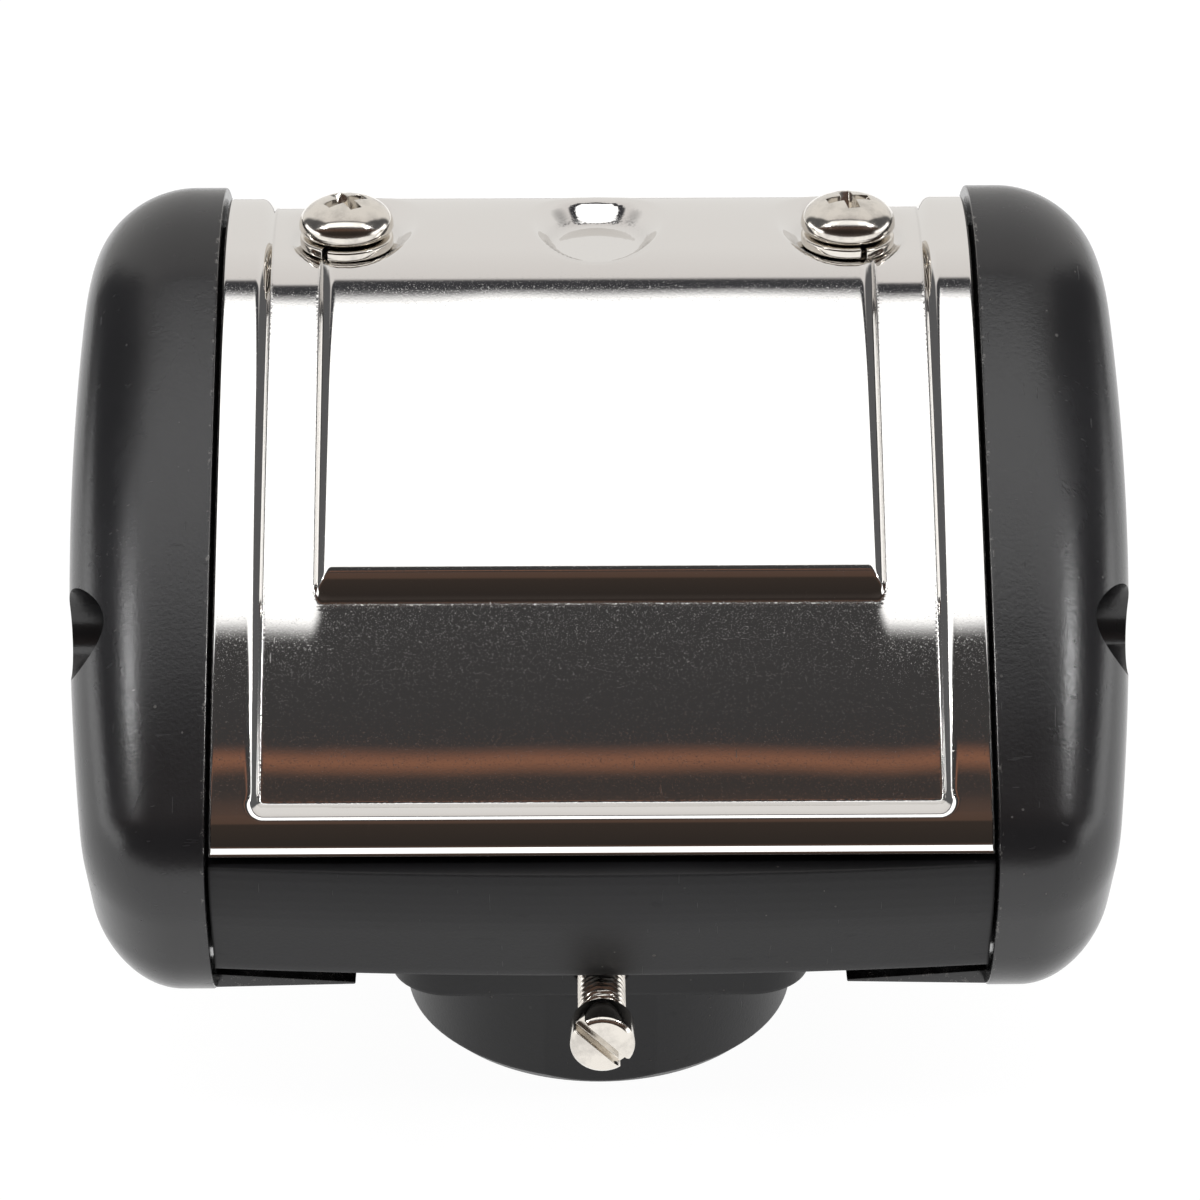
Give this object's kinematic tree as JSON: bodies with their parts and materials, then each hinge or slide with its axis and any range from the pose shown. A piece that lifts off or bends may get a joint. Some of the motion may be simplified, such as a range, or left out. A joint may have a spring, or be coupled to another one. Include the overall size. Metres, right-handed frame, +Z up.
{
  "type": "milking pulsator",
  "caption": "Pneumatic milking pulsator: stamped steel cover over a slide-valve body, moulded diaphragm end caps, round vacuum base, rear pulse nipples and a slotted rate screw.",
  "frame": {"origin": "centre of the vacuum inlet in the base connector's lower face", "axes": "+Z up, +X along the shuttle rod towards the right end cap, -Y towards the front with the rate screw"},
  "size_m": [0.105, 0.0941, 0.0826],
  "materials": {
    "black_plastic": "satin moulded",
    "cap_plastic": "satin moulded with a soft gloss",
    "stamped_steel": "polished stainless sheet",
    "nickel_screw": "bright nickel plate",
    "turned_steel": "turned",
    "brass": "machined",
    "slide_plastic": "machined",
    "black_rubber": "matte",
    "filter_foam": "open-cell foam"
  },
  "bodies": {
    "housing": {"valve_body": "black_plastic", "left_end_cap": "cap_plastic", "right_end_cap": "cap_plastic", "left_diaphragm": "black_rubber", "right_diaphragm": "black_rubber", "left_rod_bush": "brass", "right_rod_bush": "brass", "valve_seat_plate": "turned_steel", "seat_gasket": "black_rubber", "air_filter": "filter_foam", "steel_cover": "stamped_steel", "cover_screws": "nickel_screw", "cover_spring_washers": "nickel_screw", "cover_inserts": "brass", "left_cap_screws": "nickel_screw", "right_cap_screws": "nickel_screw", "base_connector": "black_plastic", "base_gasket": "black_rubber", "base_screws": "nickel_screw", "left_pulse_nipple": "black_plastic", "right_pulse_nipple": "black_plastic"},
    "shuttle": {"shuttle_rod": "turned_steel", "left_inner_plate": "turned_steel", "right_inner_plate": "turned_steel", "left_outer_plate": "turned_steel", "right_outer_plate": "turned_steel", "left_rod_nut": "nickel_screw", "right_rod_nut": "nickel_screw", "slide_driver": "slide_plastic", "main_slide": "slide_plastic", "pilot_slide": "slide_plastic"},
    "rate_seal": {"rate_screw_o_ring": "black_rubber"},
    "rate_screw": {"rate_screw": "nickel_screw"}
  },
  "joints": [
    {"name": "shuttle_slide", "type": "slide", "parent": "housing", "child": "shuttle", "axis": [1, 0, 0], "range_m": [-0.003, 0.003], "deforming": ["left_diaphragm", "right_diaphragm"]},
    {"name": "rate_screw_advance", "type": "slide", "parent": "housing", "child": "rate_seal", "axis": [0, 1, 0], "range_m": [-0.0016, 0.0024]},
    {"name": "rate_screw_turn", "type": "hinge", "parent": "rate_seal", "child": "rate_screw", "pos_m": [0, -0.03, 0.0174], "axis": [0, 1, 0], "range_deg": [-725, 1085]}
  ],
  "couplings": [
    {"joint": "rate_screw_turn", "follows": "rate_screw_advance", "rad_per_m": 7854}
  ]
}
